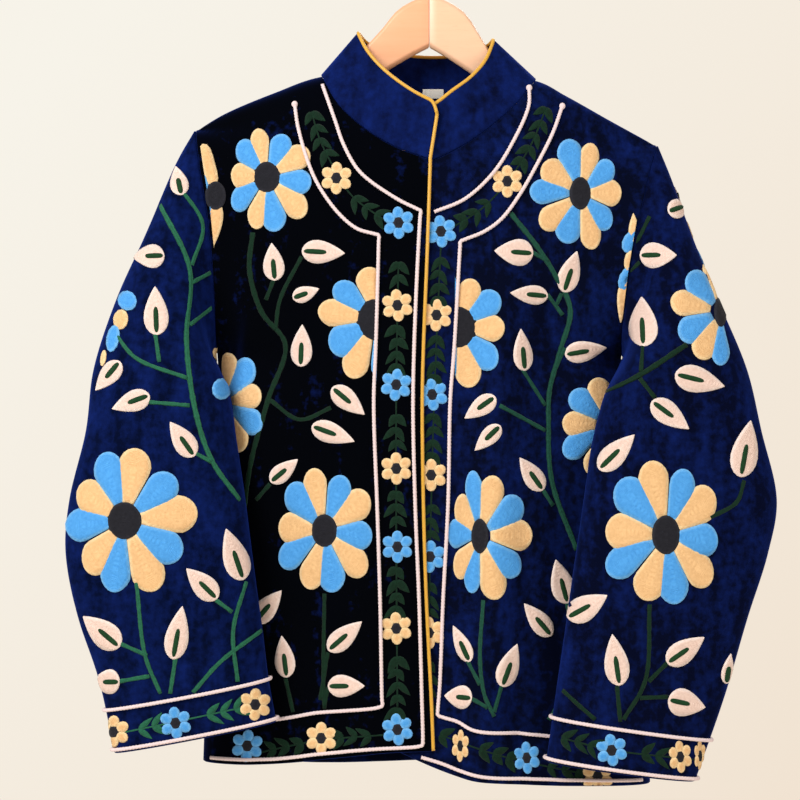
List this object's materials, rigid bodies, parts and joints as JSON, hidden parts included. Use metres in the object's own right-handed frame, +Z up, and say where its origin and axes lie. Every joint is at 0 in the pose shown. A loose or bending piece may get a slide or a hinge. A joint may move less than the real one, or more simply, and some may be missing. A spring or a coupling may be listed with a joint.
{
  "type": "suzani jacket on a wooden hanger",
  "caption": "Navy velvet suzani jacket with stand collar, long sleeves and embroidered flowers, hung on a wooden hanger with a wire hook.",
  "frame": {"origin": "inner top of the hanger's hook, where a rail or wall hook holds it", "axes": "+Z up, -Y out of the jacket's front, +X towards wearer's left"},
  "size_m": [0.652, 0.1418, 0.8047],
  "materials": {
    "velvet": "navy cotton velvet",
    "embroidery": "mercerised cotton chain stitch",
    "piping": "gold satin",
    "cord": "pale pink cotton cord",
    "label": "plain woven tape",
    "wood_warm": "lacquered beech",
    "wood_pale": "lacquered beech",
    "wire": "bright zinc plate"
  },
  "bodies": {
    "root": {"front_right": "velvet", "front_left": "velvet", "back": "velvet", "collar": "velvet", "sleeve_right": "velvet", "sleeve_left": "velvet", "piping_collar": "piping", "piping_front_right": "piping", "piping_front_left": "piping", "cord_inner_right": "cord", "cord_outer_right": "cord", "cord_inner_left": "cord", "cord_outer_left": "cord", "cord_hem_left": "cord", "cord_back_hem_1": "cord", "cord_back_hem_2": "cord", "cord_cuff_right_1": "cord", "cord_cuff_right_2": "cord", "cord_cuff_left_1": "cord", "cord_cuff_left_2": "cord", "neck_label": "label", "hanger_arm_right": "wood_warm", "hanger_arm_left": "wood_pale", "hanger_hook": "wire"}
  },
  "joints": []
}
